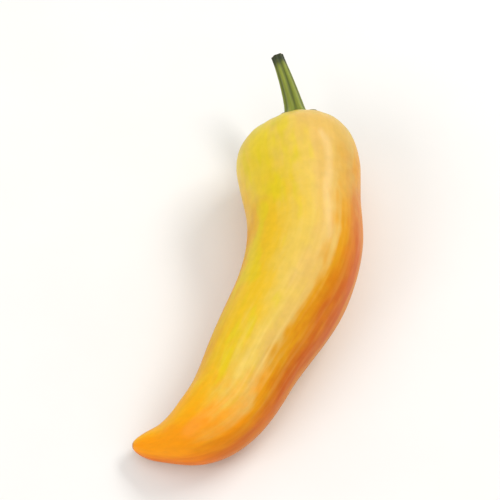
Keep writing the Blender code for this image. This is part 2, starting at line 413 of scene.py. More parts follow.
# %% The pod's tree: dents, streaks and puckers
DENT_SPACING, STREAK_SPACING = 24 * MM, 3.2 * MM
STREAK_STRETCH = 0.08  # the pattern's pace along the pod, as a share, which draws the streaks out
PUCKERS = 17.0  # round the calyx
PUCKER_WANDER = 1800.0  # radians that they swing for each metre of a dent's depth

dents = add(grow_pod, "ShaderNodeTexNoise", {"Vector": pattern, "Scale": 1 / DENT_SPACING, "Detail": 1.0})
dents = {"Value": dents, "From Min": 0.35, "From Max": 0.75}
dents = add(grow_pod, RANGE, dents, interpolation_type="SMOOTHSTEP")
dents = add(grow_pod, MATH, (dents, given["Dent depth"]), operation="MULTIPLY")
streaks = add(grow_pod, VECTOR_MATH, (pattern, (1, 1, STREAK_STRETCH)), operation="MULTIPLY")
streaks = {"Vector": streaks, "Scale": 1 / STREAK_SPACING, "Detail": 2.0}
streaks = add(grow_pod, "ShaderNodeTexNoise", streaks)
streaks = add(grow_pod, MATH, (streaks, given["Streak depth"]), operation="MULTIPLY")
wander = add(grow_pod, MATH, (dents, PUCKER_WANDER), operation="MULTIPLY")
puckers = add(grow_pod, MATH, (angle, PUCKERS, wander), operation="MULTIPLY_ADD")
puckers = add(grow_pod, MATH, (puckers,), operation="COSINE")
puckers = add(grow_pod, MATH, (puckers, -0.5, 0.5), operation="MULTIPLY_ADD")
near_calyx = {"Value": along, "From Min": 0.012, "From Max": 0.09, "To Min": 1.0, "To Max": 0.0}
near_calyx = add(grow_pod, RANGE, near_calyx, interpolation_type="SMOOTHSTEP")
puckers = add(grow_pod, MATH, (puckers, near_calyx), operation="MULTIPLY")
puckers = add(grow_pod, MATH, (puckers, given["Pucker depth"]), operation="MULTIPLY")
relief = add(grow_pod, MATH, (dents, streaks), operation="ADD")
relief = add(grow_pod, MATH, (relief, puckers), operation="ADD")
off_floor = {"Value": to_top, "From Min": -1.0, "From Max": -0.6, "To Min": 0.1, "To Max": 1.0}
off_floor = add(grow_pod, RANGE, off_floor, interpolation_type="SMOOTHSTEP")
relief = add(grow_pod, MATH, (relief, off_floor), operation="MULTIPLY")
print("relief of at most", ", ".join(f"{depth / MM:.2f} mm" for depth in RELIEF.values()))

# %% [markdown]
# Every point of the tube is now put at its own distance from the axis, in the direction that its angle
# gives between sideways and up. A plain sweep alone would tilt and pinch the rings in the bend of the neck.

# %% The pod's tree: where each point goes
reach = add(grow_pod, "GeometryNodeGroup", {"Angle": angle, "Along": along, **lobes}, node_tree=section)
reach = add(grow_pod, MATH, (reach, width), operation="MULTIPLY")
reach = add(grow_pod, MATH, (reach, relief), operation="SUBTRACT")
reach = add(grow_pod, MATH, (reach, closed), operation="MULTIPLY")
heading = add(grow_pod, "GeometryNodeInputNamedAttribute", ("heading",), data_type="FLOAT_VECTOR")
side = add(grow_pod, VECTOR_MATH, ((0, 0, 1), heading), operation="CROSS_PRODUCT")
side = add(grow_pod, VECTOR_MATH, (side,), operation="NORMALIZE")
up = add(grow_pod, VECTOR_MATH, (heading, side), operation="CROSS_PRODUCT")
side = add(grow_pod, VECTOR_MATH, {0: side, 1: to_side}, operation="SCALE")
up = add(grow_pod, VECTOR_MATH, {0: up, 1: to_top}, operation="SCALE")
outward = add(grow_pod, VECTOR_MATH, (side, up), operation="ADD")
outward = add(grow_pod, VECTOR_MATH, (outward, reach), operation="SCALE")
centre = add(grow_pod, "GeometryNodeInputNamedAttribute", ("centre",), data_type="FLOAT_VECTOR")
skin = add(grow_pod, VECTOR_MATH, (centre, outward), operation="ADD")
print(f"{grow_pod.name}: {len(grow_pod.nodes)} nodes")

# %% [markdown]
# A pepper is firm but not hard: where it lies, a small spot goes flat. What would reach below the floor is
# raised to it. Then the points that meet at either end are merged, the faces are turned outwards, and the
# tree ends by making its instances real, of which this one has none, and by setting its material.

# %% The pod's tree: pressed flat and finished
POLE_MERGE = 0.001 * MM

pressed = add(grow_pod, "ShaderNodeSeparateXYZ", (skin,))
height = add(grow_pod, MATH, (pressed.outputs["Z"], 0.0), operation="MAXIMUM")
skin = add(grow_pod, "ShaderNodeCombineXYZ", (pressed.outputs["X"], pressed.outputs["Y"], height))
pod = add(grow_pod, "GeometryNodeSetPosition", {"Geometry": tube, "Position": skin})
pod = add(grow_pod, "GeometryNodeMergeByDistance", {"Geometry": pod, "Distance": POLE_MERGE})
pod = add(grow_pod, "GeometryNodeFlipFaces", (pod,))  # a tube that is swept this way round faces inwards
pod = add(grow_pod, "GeometryNodeSetShadeSmooth", (pod,))
pod = add(grow_pod, "GeometryNodeRealizeInstances", (pod,))
pod = add(grow_pod, "GeometryNodeSetMaterial", {"Geometry": pod, "Material": given["Skin"]})
add(grow_pod, "NodeGroupOutput", (pod,))
print(f"{grow_pod.name}: {len(grow_pod.nodes)} nodes")

# %% [markdown]
# A modifier runs the tree on an object. Its inputs are set by their identifiers, and Blender then gives the
# evaluated shape as a plain mesh, which is what the export keeps, so the modifier can go. The numbers that
# the points carry stay on the mesh, where the materials read them.


# %% From tree to plain mesh
def grow(source, tree, name, **values):
    """What a tree makes of an object, as a plain mesh in an object of its own."""
    modifier = source.modifiers.new(tree.name, "NODES")
    modifier.node_group = tree
    for item in tree.interface.items_tree:
        if item.in_out == "INPUT" and item.name in values:
            modifier[item.identifier] = values[item.name]
    state = bpy.context.evaluated_depsgraph_get()
    grown = source.evaluated_get(state)
    mesh = bpy.data.meshes.new_from_object(grown, preserve_all_data_layers=True, depsgraph=state)
    mesh.name = name
    source.modifiers.remove(modifier)
    piece = bpy.data.objects.new(name, mesh)
    bpy.context.scene.collection.objects.link(piece)
    return piece


def read(mesh, name):
    """The numbers or vectors that a mesh keeps for its points under a name, one row for each point."""
    layer = mesh.attributes[name]
    width, slot = (1, "value") if layer.data_type == "FLOAT" else (3, "vector")
    values = np.empty(len(mesh.vertices) * width, np.float32)
    layer.data.foreach_get(slot, values)
    return values if width == 1 else values.reshape(-1, 3)


# %% [markdown]
# The pod is grown twice: once with its dents, streaks and puckers, and once bare, with their depths left at
# nothing. The bare form is what the calyx is laid over further down. The axis object has then done its
# work.

# %% The pod
waxy_skin = bpy.data.materials.new("waxy_pepper_skin")
waxy_skin.use_nodes = True
sizes = {"Around": AROUND, "Seed": 0.3, "Skin": waxy_skin, **LOBE_SIZES}
pod = grow(pod_axis, grow_pod, "waxy_pod", **sizes, **RELIEF)
bare = grow(pod_axis, grow_pod, "bare_form", **sizes)
bpy.data.objects.remove(pod_axis)
print(f"{pod.name}: {len(pod.data.vertices)} points")

# %% [markdown]
# Two things can go wrong in a mesh that a rule makes: its faces can point inwards, and it can drift from
# the solid that it stands for. The volume is positive only if the faces point out, and the distance to the
# solid shows the drift.


# %% Measuring a piece against its solid
def measure(piece, node):
    """Prints a piece's triangles, its volume and its largest distance from the solid that it stands for."""
    mesh, solid = piece.data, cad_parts[node].data
    corners = [vertex.co for vertex in solid.vertices]
    tree = BVHTree.FromPolygons(corners, [polygon.vertices for polygon in solid.polygons])
    apart = max(tree.find_nearest(vertex.co)[3] for vertex in mesh.vertices)
    mesh.calc_loop_triangles()
    points = read(mesh, "position")
    a, b, c = points[np.array([triangle.vertices for triangle in mesh.loop_triangles]).T]
    volume = np.einsum("ij,ij->i", a, np.cross(b, c)).sum() / 6 / MM**3
    print(f"{piece.name}: {len(mesh.loop_triangles)} triangles, {volume / 1000:.2f} cm3 inside")
    print(f"no point is more than {apart / MM:.2f} mm from the solid {node}")


measure(pod, "pod")

# %% [markdown]
# ## Stem and calyx
#
# The calyx is the star-shaped foot of the stem, thick in its middle and thin at its rim, with a small tooth
# at the end of each rib. It hugs the shoulder like a cap. A flat star could be shrink-wrapped on the
# shoulder, but its rim would stretch. So it is laid over the pod's own rings: the bare form says where the
# shoulder is and which way it faces.

# %% The shoulder under the calyx
points = read(bare.data, "position")
columns = np.arange(AROUND)
facing = np.empty(len(points) * 3, np.float32)
bare.data.vertex_normals.foreach_get("vector", facing)
facing = facing.reshape(-1, 3)
order = np.lexsort((read(bare.data, "angle"), read(bare.data, "along")))  # ring by ring, from the stem end
start = Vector(points[order[0]]) / MM
away = Vector(facing[order[0]])
shoulder = points[order[1:-1]].reshape(-1, AROUND, 3) / MM
shoulder_facing = facing[order[1:-1]].reshape(-1, AROUND, 3)
bpy.data.objects.remove(bare)


def dome_depth(share):
    """How far from the top the shoulder has this share of its full width."""
    return SHOULDER_DEPTH * (1 - (1 - share**SHOULDER_SQUARENESS) ** (1 / SHOULDER_SQUARENESS))


def over_shoulder(share, height):
    """A ring of points at shares of the half width, at a height over the skin, and the way it faces there."""
    row = np.interp(dome_depth(share), ring_at[1:-1], np.arange(len(shoulder)))
    low = row.astype(int)
    part = (row - low)[:, None]
    point = shoulder[low, columns] * (1 - part) + shoulder[low + 1, columns] * part
    normal = shoulder_facing[low, columns] * (1 - part) + shoulder_facing[low + 1, columns] * part
    return point + height * normal, normal


print(f"the stem leaves the pod at {start.x:.1f}, {start.y:.1f}, {start.z:.1f} mm")

# %% [markdown]
# The stem leaves the pod along its axis, bends to one side and up, and was cut close to where it hung from
# the plant. Its ribs run down into the teeth of the calyx. The sizes are the solid's own.

# %% Sizes of the calyx and the stem
# In millimetres and radians
CALYX_RADIUS = 8.8  # between its teeth
CALYX_RIM, CALYX_CROWN, CALYX_RIB = 0.6, 2.4, 0.5
RIBS, RIB_TURN = 6, math.radians(30)  # the first rib, from straight up
TOOTH_LENGTH, TOOTH_NARROWNESS, TOOTH_UNEVENNESS = 1.8, 4, 0.4
SEAT_GAP = 0.3  # the solid's gap over the skin
STEM_LENGTH, STEM_KNEE, STEM_START = 26.0, 0.35, 0.13  # it bends, and leaves the calyx, at these shares
STEM_LEAN = Vector((-0.34, 0.90, 0.22)).normalized()  # where its cut end points
STEM_BASE_RADIUS, STEM_END_RADIUS, STEM_TAPER = 4.1, 1.9, 0.75
STEM_FLARE, FLARE_REACH = 0.8, 0.1  # what it gains where it leaves the calyx, and over which share
STEM_LIP, LIP_START = 0.15, 0.86  # what it gains at the cut, and from which share
RIB_HEIGHT = 0.075  # share of the stem's radius

print(f"a stem {STEM_LENGTH:.0f} mm long with {RIBS} ribs")

# %% [markdown]
# Calyx and stem grew as one, so they are one skin here: rings over the shoulder, then rings across the
# stem. Each ring also keeps its rise, the offset that a full rib gives it, for the nodes to use further
# down.

# %% Rings of the calyx and the stem
RIM_HEIGHTS = (0.1, 0.55)  # shares of the rim's thickness
TOP_SHARES = (0.95, 0.88, 0.79, 0.68, 0.58)  # of the calyx's reach, from its rim inwards
TOP_HEIGHT = 0.9  # share of the rim's thickness, so that the rim is rounded
STALK_RINGS, LAST_RING = 15, 0.992  # the last one's share of the stem's length

angles = 2 * math.pi * columns / AROUND
tooth = ((1 + np.cos(RIBS * (angles - RIB_TURN))) / 2) ** TOOTH_NARROWNESS
reach = CALYX_RADIUS + TOOTH_LENGTH * (1 + TOOTH_UNEVENNESS * np.sin(2 * angles + 1)) * tooth
reach /= POD_STATIONS[0][2]


def calyx_ring(share, height, crown=0.0):
    """A ring at a share of the calyx's reach, and its rise. The crown lifts it towards the middle."""
    point, normal = over_shoulder(share * reach, height + CALYX_CROWN * crown**1.5)
    return point, crown * CALYX_RIB * normal


def stem_ring(t, across=1.0, deeper=0.0):
    """A ring at share t of the stem's length, drawn in to a share of its radius and sunk, and its rise."""
    knee = start + STEM_KNEE * STEM_LENGTH * away
    end = knee + (1 - STEM_KNEE) * STEM_LENGTH * STEM_LEAN
    middle = (1 - t) ** 2 * start + 2 * t * (1 - t) * knee + t**2 * end
    heading = ((1 - t) * (knee - start) + t * (end - knee)).normalized()
    side = Vector((0, 0, 1)).cross(-away)
    side = (side - heading * side.dot(heading)).normalized()
    up = side.cross(heading)
    radius = STEM_BASE_RADIUS + (STEM_END_RADIUS - STEM_BASE_RADIUS) * t**STEM_TAPER
    radius += STEM_FLARE * math.exp(-(((t - STEM_START) / FLARE_REACH) ** 2))
    radius += STEM_LIP * max(0.0, (t - LIP_START) / (1 - LIP_START)) ** 2
    spoke = radius * across * (np.outer(np.cos(angles), up) + np.outer(np.sin(angles), side))
    return np.array(middle - deeper * heading) + spoke, RIB_HEIGHT * spoke


rim = [calyx_ring(1.0, SEAT_GAP + CALYX_RIM * height) for height in RIM_HEIGHTS]
top = [calyx_ring(share, SEAT_GAP + TOP_HEIGHT * CALYX_RIM, 1 - share) for share in TOP_SHARES]
stalk = [stem_ring(t) for t in np.linspace(STEM_START, LAST_RING, STALK_RINGS).tolist()]
print(f"{len(rim + top)} rings on the calyx, {len(stalk)} on the stem")

# %% [markdown]
# Those few rings would show as steps. A smooth curve through them, from the rim up to the cut, gives as
# many rows as the eye needs. A subdivision surface would smooth them too, but it would shrink the ribs and
# the teeth. Each row keeps how far it has climbed: 0 at the rim, 1 where the stem starts and 2 at the cut.

# %% Rows from the rim to the cut
ROWS = 150

controls = rim + top + stalk
middles = np.array([point.mean(axis=0) for point, _ in controls])
spread = [np.linalg.norm(point - middle, axis=1).mean() for (point, _), middle in zip(controls, middles)]
travelled = np.hypot(np.linalg.norm(np.diff(middles, axis=0), axis=1), np.diff(spread))
travelled = np.concatenate([[0.0], np.cumsum(travelled)])
flat = np.array([np.concatenate([point, rise], axis=1).ravel() for point, rise in controls])
rows = smooth_curve(travelled, flat)(np.linspace(0, travelled[-1], ROWS)).reshape(ROWS, AROUND, 6)
collar = travelled[len(rim + top)] / travelled[-1]
climb = np.interp(np.linspace(0, 1, ROWS), (0, collar, 1), (0, 1, 2))
print(f"{travelled[-1]:.0f} mm from the rim to the cut, in {ROWS} rows")

# %% [markdown]
# Two ends are left out of the curve, because they have sharp edges. Under the calyx the rim goes down into
# the pod's skin, where the two grew together. At the cut, the skin stands proud round the edge, and the
# pith inside has shrunk a little as it dried.

# %% Under the rim and over the cut
SUNK = 0.5  # how deep the rim goes into the skin, in mm
UNDER = ((0.5, 0.0), (0.8, -0.2), (0.97, -SUNK))  # share of the calyx's reach, and height over the skin
CUT = ((0.99, 0.0), (0.93, -0.03), (0.82, 0.12), (0.74, 0.42), (0.5, 0.5), (0.2, 0.46))  # radius, depth
CUT_CLIMB = (2.1, 2.9)  # from the edge of the cut to its middle

under = [calyx_ring(share, height) for share, height in UNDER]
cut = [stem_ring(1.0, across, deeper) for across, deeper in CUT]
under, cut = (np.array([np.concatenate(pair, axis=1) for pair in rings]) for rings in (under, cut))
rows = np.concatenate([under, rows, cut])
climb = np.concatenate([np.zeros(len(under)), climb, np.linspace(*CUT_CLIMB, len(cut))])
poles = [np.array(start), stem_ring(1.0, 0.0, CUT[-1][1])[0][0]]
print(f"{len(rows)} rows of {AROUND} points")

# %% [markdown]
# The rows become a mesh: a fan round each pole, and squares between every row and the next. The points keep
# their angle, their rise and, as for the pod, a direction round the stem with the climb.

# %% The rows as a mesh
points = np.concatenate([poles[:1], rows[..., :3].reshape(-1, 3), poles[1:]])
faces = []
last = len(points) - 1
for i in range(AROUND):
    j = (i + 1) % AROUND
    faces.append((0, 1 + j, 1 + i))
    for first in range(1, last - AROUND, AROUND):
        faces.append((first + j, first + AROUND + j, first + AROUND + i, first + i))
    faces.append((last - AROUND + i, last - AROUND + j, last))
stalk_mesh = bpy.data.meshes.new("stem_rows")
stalk_mesh.from_pydata(points * MM, [], faces)
on_stem = np.empty((len(rows), AROUND, 3))
on_stem[..., 0] = np.sin(angles)
on_stem[..., 1] = np.cos(angles)
on_stem[..., 2] = climb[:, None]
store(stalk_mesh, "on_stem", np.concatenate([[(0, 0, 0)], on_stem.reshape(-1, 3), [(0, 0, 3)]]))
store(stalk_mesh, "angle", np.concatenate([[0], np.tile(angles, len(rows)), [0]]))
store(stalk_mesh, "rise", np.concatenate([[(0, 0, 0)], rows[..., 3:].reshape(-1, 3) * MM, [(0, 0, 0)]]))
stem_rows = bpy.data.objects.new("stem_rows", stalk_mesh)
bpy.context.scene.collection.objects.link(stem_rows)
print(f"{len(points)} points, {len(faces)} faces")

# %% [markdown]
# The ribs follow a surface, so nodes raise them: every point moves by its rise times a wave with six crests
# round the stem. Modelled one by one they would never run as evenly into the teeth.

# %% The stem's tree: ribs
numbers = ("Ribs", "First rib", "Fibre depth", "Pore depth", "Seed")
inputs = {"Rows": "Geometry", **dict.fromkeys(numbers, "Float")}
grow_stem, given = new_tree("grow_stem", inputs | {"Skin": "Material"}, {"Stem": "Geometry"})
angle = add(grow_stem, "GeometryNodeInputNamedAttribute", ("angle",), data_type="FLOAT")
rise = add(grow_stem, "GeometryNodeInputNamedAttribute", ("rise",), data_type="FLOAT_VECTOR")
crest = add(grow_stem, MATH, (angle, given["First rib"]), operation="SUBTRACT")
crest = add(grow_stem, MATH, (crest, given["Ribs"]), operation="MULTIPLY")
crest = add(grow_stem, MATH, (crest,), operation="COSINE")
rib = add(grow_stem, VECTOR_MATH, {0: rise, 1: crest}, operation="SCALE")
print(f"{grow_stem.name}: {len(grow_stem.nodes)} nodes")

# %% [markdown]
# A stem is a bundle of fibres under a thin skin. The fibres run along it and fan out over the calyx, and
# the skin between them is never quite even. These only go inwards.

# %% The stem's tree: fibres and pores
FIBRE_SPACING, PORE_SPACING = 0.55 * MM, 1.6 * MM
FIBRE_PACE = 1.2 * MM  # a unit of climb in the pattern, less than the real one, so that fibres run long

on_stem = add(grow_stem, "GeometryNodeInputNamedAttribute", ("on_stem",), data_type="FLOAT_VECTOR")
stretch = (STEM_BASE_RADIUS * MM, STEM_BASE_RADIUS * MM, FIBRE_PACE)
pattern = add(grow_stem, VECTOR_MATH, (on_stem, stretch), operation="MULTIPLY")
pattern = add(grow_stem, VECTOR_MATH, (pattern, given["Seed"]), operation="ADD")
fibres = {"Vector": pattern, "Scale": 1 / FIBRE_SPACING, "Detail": 2.0}
fibres = add(grow_stem, "ShaderNodeTexNoise", fibres)
fibres = add(grow_stem, MATH, (fibres, given["Fibre depth"]), operation="MULTIPLY")
pores = {"Vector": add(grow_stem, "GeometryNodeInputPosition"), "Scale": 1 / PORE_SPACING, "Detail": 3.0}
pores = add(grow_stem, "ShaderNodeTexNoise", pores)
pores = add(grow_stem, MATH, (pores, given["Pore depth"]), operation="MULTIPLY")
depth = add(grow_stem, MATH, (fibres, pores), operation="ADD")
depth = add(grow_stem, MATH, (depth, -1.0), operation="MULTIPLY")
outward = add(grow_stem, "GeometryNodeInputNormal")
inward = add(grow_stem, VECTOR_MATH, {0: outward, 1: depth}, operation="SCALE")
offset = add(grow_stem, VECTOR_MATH, (rib, inward), operation="ADD")
stem = add(grow_stem, "GeometryNodeSetPosition", {"Geometry": given["Rows"], "Offset": offset})
stem = add(grow_stem, "GeometryNodeSetShadeSmooth", (stem,))
stem = add(grow_stem, "GeometryNodeRealizeInstances", (stem,))
stem = add(grow_stem, "GeometryNodeSetMaterial", {"Geometry": stem, "Material": given["Skin"]})
add(grow_stem, "NodeGroupOutput", (stem,))
print(f"{grow_stem.name}: {len(grow_stem.nodes)} nodes")

# %% [markdown]
# The stem is grown from its rows as the pod was from its axis, and measured against its solid too. It is
# farthest from it under the rim, which goes down through the solid's gap into the skin.

# %% The stem
green_stem = bpy.data.materials.new("fresh_green_stem")
green_stem.use_nodes = True
sizes = {"Ribs": float(RIBS), "First rib": RIB_TURN, "Seed": 0.7, "Skin": green_stem}
depths = {"Fibre depth": 0.16 * MM, "Pore depth": 0.1 * MM}
stem = grow(stem_rows, grow_stem, "ribbed_stem", **sizes, **depths)
bpy.data.objects.remove(stem_rows)
measure(stem, "stem_and_calyx")

# %% [markdown]
# ## The skin's colours
#
# A hungarian hot wax pepper that is about to turn shows several ripenesses at once. One side is still a
# greenish yellow. The ridge is pale cream, partly bleached skin and partly a painted highlight. The flank
# beyond it goes amber and rust in a narrow band, partly from ripening and partly painted shade with a
# painted orange reflection, and farther round it is plain gold. The tip, which ripens first, is orange, and
# deeper orange on its flank, partly as painted shade.

# %% Colours of the skin
LIME = srgb("#EACF32")
YOLK = srgb("#ECBF20")
CANARY = srgb("#E8C556")
# partly the skin's own pale cream, partly a painted highlight along the ridge
CREAM_AND_HIGHLIGHT = srgb("#E3BA60")
TAN = srgb("#D8B25A")
GOLD = srgb("#E09A10")
AMBER = srgb("#D87E02")
# partly the skin's own deep orange, partly painted shade and a painted orange reflection on the flank
RUST_AND_SHADE = srgb("#CE5E00")
ORANGE = srgb("#FF9E00")
FLAME = srgb("#EE7A04")
HONEY = srgb("#F8B008")
LEMON = srgb("#E2CC0A")
STREAK_HIGHLIGHT = srgb("#FBDC84")
DARK_GREENISH = srgb("#C4BE3A")
SCAR = srgb("#7A5A2C")

# %% [markdown]
# The colours could be painted in a picture, but a rule does it too, and stays sharp at any size. They are
# laid round the pod by angle, measured from its ridge, in three belts: shoulder, belly and tip. Each belt
# becomes a colour ramp that goes once round the pod.

# %% Three belts of colour
# Degrees round the pod from its ridge, and the colour there
SHOULDER = (
    (-180, GOLD), (-110, CANARY), (-65, LIME), (-36, CANARY),
    (-14, CREAM_AND_HIGHLIGHT), (26, TAN), (54, GOLD), (180, GOLD),
)
# the amber and rust band past the ridge is partly ripening, partly painted shade and a painted orange
# reflection
BELLY = (
    (-180, GOLD), (-115, GOLD), (-70, YOLK), (-30, CANARY), (-10, CREAM_AND_HIGHLIGHT), (6, GOLD),
    (20, AMBER), (40, RUST_AND_SHADE), (64, AMBER), (105, GOLD), (180, GOLD),
)
# the deeper orange on the tip's flank is partly painted shade
TIP = (
    (-180, AMBER), (-110, GOLD), (-75, HONEY), (-35, ORANGE), (10, ORANGE),
    (50, FLAME), (85, AMBER), (130, GOLD), (180, AMBER),
)


def stops_round(table):
    """A ramp's stops from a table of degrees from the ridge, each with a colour or with a share as a grey."""
    colours = [value if isinstance(value, tuple) else (value, value, value, 1) for _, value in table]
    return [((degrees + 180) / 360, colour) for (degrees, _), colour in zip(table, colours)]


print("stops of the belts:", ", ".join(str(len(belt)) for belt in (SHOULDER, BELLY, TIP)))

# %% [markdown]
# Ripening has no straight edges. The ridge that the colours are measured from turns with the pod's twist,
# and noise of three sizes, drawn out along the pod, swings it a few degrees either way.

# %% Colours round the pod
# Spacing of the drift, how it is drawn out along the pod, and how many degrees it swings
DRIFTS = ((11 * MM, 0.4, 20), (4 * MM, 0.6, 10), (1.3 * MM, 0.12, 5))

tree = waxy_skin.node_tree
shader = tree.nodes["Principled BSDF"]
on_skin = add(tree, "ShaderNodeAttribute", attribute_name="on_skin").outputs["Vector"]
along = add(tree, "ShaderNodeSeparateXYZ", (on_skin,)).outputs["Z"]
real = add(tree, VECTOR_MATH, (on_skin, (GIRTH, GIRTH, pod_length * MM)), operation="MULTIPLY")
ridge = add(tree, MATH, (along, LOBE_SIZES["Twist"], LOBE_SIZES["First ridge"]), operation="MULTIPLY_ADD")
for spacing, stretch, degrees in DRIFTS:
    drift = add(tree, VECTOR_MATH, (real, (1, 1, stretch)), operation="MULTIPLY")
    drift = add(tree, "ShaderNodeTexNoise", {"Vector": drift, "Scale": 1 / spacing, "Detail": 1.0})
    swing = math.radians(degrees) / 2
    drift = {"Value": drift, "From Min": 0.3, "From Max": 0.7, "To Min": -swing, "To Max": swing}
    drift = add(tree, RANGE, drift)
    ridge = add(tree, MATH, (ridge, drift), operation="ADD")
turned = add(tree, "ShaderNodeVectorRotate", {"Vector": on_skin, "Angle": ridge}, rotation_type="Z_AXIS")
turned = add(tree, "ShaderNodeSeparateXYZ", (turned,))
round_pod = add(tree, MATH, (turned.outputs["X"], turned.outputs["Y"]), operation="ARCTAN2")
round_pod = {"Value": round_pod, "From Min": -math.pi, "From Max": math.pi}
round_pod = add(tree, RANGE, round_pod)
belts = []
for belt in (SHOULDER, BELLY, TIP):
    belts.append(add(tree, "ShaderNodeValToRGB", (round_pod,), stops=stops_round(belt)))
    belts[-1].color_ramp.interpolation = "EASE"
print(f"{waxy_skin.name}: {len(tree.nodes)} nodes")

# %% [markdown]
# Along the pod the belts run into each other: the shoulder's into the belly's over the pod's first third,
# and the belly's into the tip's over its last. Noise makes the edges uneven.

# %% Colours along the pod
EDGE_SIZE = 12 * MM  # from one bulge of an edge to the next

uneven = add(tree, "ShaderNodeTexNoise", {"Vector": real, "Scale": 1 / EDGE_SIZE, "Detail": 4.0})
uneven = {"Value": uneven, "From Min": 0.3, "From Max": 0.7, "To Min": -0.06, "To Max": 0.06}
uneven = add(tree, MATH, (along, add(tree, RANGE, uneven)), operation="ADD")
to_belly = {"Value": uneven, "From Min": 0.1, "From Max": 0.36}
to_belly = add(tree, RANGE, to_belly, interpolation_type="SMOOTHSTEP")
to_tip = {"Value": uneven, "From Min": 0.68, "From Max": 0.87}
to_tip = add(tree, RANGE, to_tip, interpolation_type="SMOOTHSTEP")
colour = add(tree, MIX, {"Factor": to_belly, "A": belts[0], "B": belts[1]}, data_type="RGBA")
colour = add(tree, MIX, {"Factor": to_tip, "A": colour, "B": belts[2]}, data_type="RGBA")
print(f"{waxy_skin.name}: {len(tree.nodes)} nodes")

# %% [markdown]
# Where the skin is least ripe, brighter lemon patches stand in the yellow. They lie left of the ridge and
# stop short of the tip. Round the calyx the skin is mixed towards a darker greenish yellow.

# %% Lemon patches and a greenish ring
PATCH_SIZE = 7 * MM
GREENER = ((-180, 0), (-125, 0), (-85, 1), (-35, 1), (-12, 0), (180, 0))  # degrees, and share of the patches

patches = add(tree, VECTOR_MATH, (real, (1, 1, 0.5)), operation="MULTIPLY")
patches = add(tree, "ShaderNodeTexNoise", {"Vector": patches, "Scale": 1 / PATCH_SIZE, "Detail": 2.0})
patches = {"Value": patches, "From Min": 0.48, "From Max": 0.66, "To Min": 0.0, "To Max": 0.6}
patches = add(tree, RANGE, patches, interpolation_type="SMOOTHSTEP")
greener = add(tree, "ShaderNodeValToRGB", (round_pod,), stops=stops_round(GREENER))
patches = add(tree, MATH, (patches, greener), operation="MULTIPLY")
off_tip = add(tree, MATH, (1.0, to_tip), operation="SUBTRACT")
patches = add(tree, MATH, (patches, off_tip), operation="MULTIPLY")
colour = add(tree, MIX, {"Factor": patches, "A": colour, "B": LEMON}, data_type="RGBA")
# mixes towards a darker greenish yellow next to the calyx
round_calyx = {"Value": uneven, "From Min": 0.02, "From Max": 0.09, "To Min": 0.45, "To Max": 0.0}
round_calyx = add(tree, RANGE, round_calyx, interpolation_type="SMOOTHSTEP")
colour = add(tree, MIX, {"Factor": round_calyx, "A": colour, "B": DARK_GREENISH}, data_type="RGBA")
print(f"patches about {PATCH_SIZE / MM:.0f} mm wide")

# %% [markdown]
# Pale streaks along the ridge are a painted highlight: the gloss, broken up as fine relief breaks it. They
# are faint at the shoulder, stronger on the belly, and end before the tip. Noise gives them, drawn out along
# the pod until they are about ten times as long as wide.

# %% Painted highlight streaks
HIGHLIGHT_STREAK_WIDTH = 2.2 * MM
HIGHLIGHT_STREAK_SHARE = ((-180, 0.04), (-60, 0.06), (-28, 0.4), (-6, 0.4), (12, 0.08), (180, 0.03))  # degrees, and share

# these streaks are a painted highlight, not the streaks of relief in the pod's tree
streaks = add(tree, VECTOR_MATH, (real, (1, 1, 0.1)), operation="MULTIPLY")
streaks = add(tree, "ShaderNodeTexNoise", {"Vector": streaks, "Scale": 1 / HIGHLIGHT_STREAK_WIDTH, "Detail": 1.0})
streaks = {"Value": streaks, "From Min": 0.4, "From Max": 0.75}
streaks = add(tree, RANGE, streaks, interpolation_type="SMOOTHSTEP")
highlight_share = add(tree, "ShaderNodeValToRGB", (round_pod,), stops=stops_round(HIGHLIGHT_STREAK_SHARE))
streaks = add(tree, MATH, (streaks, highlight_share), operation="MULTIPLY")
streaks = add(tree, MATH, (streaks, off_tip), operation="MULTIPLY")
stronger = {"Value": uneven, "From Min": 0.3, "From Max": 0.65, "To Min": 0.25, "To Max": 1.0}
streaks = add(tree, MATH, (streaks, add(tree, RANGE, stronger)), operation="MULTIPLY")
colour = add(tree, MIX, {"Factor": streaks, "A": colour, "B": STREAK_HIGHLIGHT}, data_type="RGBA")
print(f"streaks about {HIGHLIGHT_STREAK_WIDTH / MM:.1f} mm wide")

# %% [markdown]
# A faint mottle keeps any patch of skin from being one plain colour. The brown scar at the very end of the
# tip is where the flower fell off.

# %% Mottle and scar
MOTTLE_SIZE = 2.6 * MM

mottle = add(tree, "ShaderNodeTexNoise", {"Vector": real, "Scale": 1 / MOTTLE_SIZE, "Detail": 3.0})
mottle = {"Value": mottle, "From Min": 0.3, "From Max": 0.7, "To Min": 0.95, "To Max": 1.03}
mottle = add(tree, RANGE, mottle)
colour = add(tree, VECTOR_MATH, (colour, mottle), operation="MULTIPLY")
scar = {"Value": along, "From Min": 0.992, "From Max": 0.999, "To Max": 0.6}
scar = add(tree, RANGE, scar, interpolation_type="SMOOTHSTEP")
colour = add(tree, MIX, {"Factor": scar, "A": colour, "B": SCAR}, data_type="RGBA")
tree.links.new(colour.outputs[2], shader.inputs["Base Color"])
print(f"{waxy_skin.name}: {len(tree.nodes)} nodes")

# %% [markdown]
# The skin is wet flesh under a thin clear coat of plant wax, which grew on it. The eye gets a broad, soft
# gloss from the skin and a sharper one from the wax. Both start from the IOR of plant wax, about 1.4, and
# their strength is kept low, because in a white room they would wash the colours out. Light goes a little
# way into the flesh, red the deepest, so the colours glow and blend.
#
# Roughness drifts where the wax was rubbed, and a bump far finer than a millimetre breaks the highlights
# up.

# %% Wax and flesh
RUB_SIZE = 6 * MM
GRAIN, GRAIN_DEPTH = 0.5 * MM, 0.02 * MM  # the grain of real wax is finer, and wouldn't show at all

